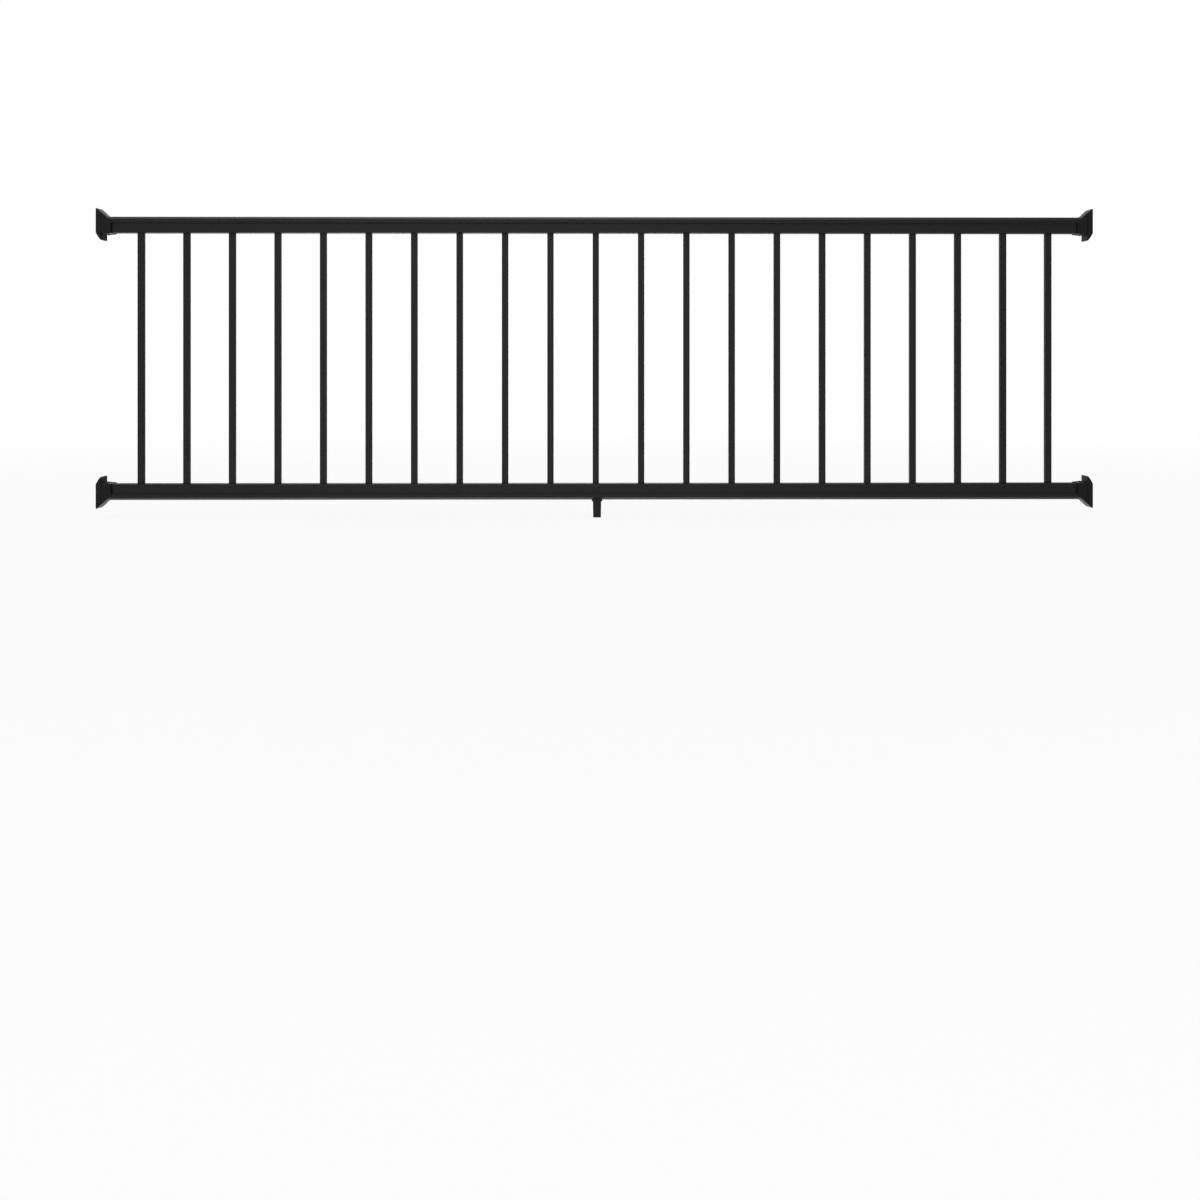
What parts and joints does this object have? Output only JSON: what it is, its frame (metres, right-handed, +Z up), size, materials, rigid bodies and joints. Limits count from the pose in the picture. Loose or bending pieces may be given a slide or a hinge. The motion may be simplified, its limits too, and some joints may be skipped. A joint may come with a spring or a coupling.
{
  "type": "deck railing section",
  "caption": "Black deck railing section with square balusters between two hollow loaf-shaped rails, wall brackets and a support foot.",
  "frame": {"origin": "back face of the top left bracket, on the top rail's centre line", "axes": "+X along the rails to the right-hand post, +Y away from the viewer, +Z up"},
  "size_m": [3.02, 0.062, 0.9384],
  "materials": {
    "black_rail": "satin black extrusion with a fine grain",
    "mill_aluminium": "mill finish extrusion",
    "black_baluster": "satin black powder coat",
    "black_bracket": "satin black moulding",
    "black_foot": "satin black moulding"
  },
  "bodies": {
    "root": {"top_rail": "black_rail", "bottom_rail": "black_rail", "top_rail_insert": "mill_aluminium", "bottom_rail_insert": "mill_aluminium", "baluster_01": "black_baluster", "baluster_02": "black_baluster", "baluster_03": "black_baluster", "baluster_04": "black_baluster", "baluster_05": "black_baluster", "baluster_06": "black_baluster", "baluster_07": "black_baluster", "baluster_08": "black_baluster", "baluster_09": "black_baluster", "baluster_10": "black_baluster", "baluster_11": "black_baluster", "baluster_12": "black_baluster", "baluster_13": "black_baluster", "baluster_14": "black_baluster", "baluster_15": "black_baluster", "baluster_16": "black_baluster", "baluster_17": "black_baluster", "baluster_18": "black_baluster", "baluster_19": "black_baluster", "baluster_20": "black_baluster", "baluster_21": "black_baluster", "bracket_top_left": "black_bracket", "bracket_top_right": "black_bracket", "bracket_bottom_left": "black_bracket", "bracket_bottom_right": "black_bracket", "support_foot": "black_foot"}
  },
  "joints": []
}
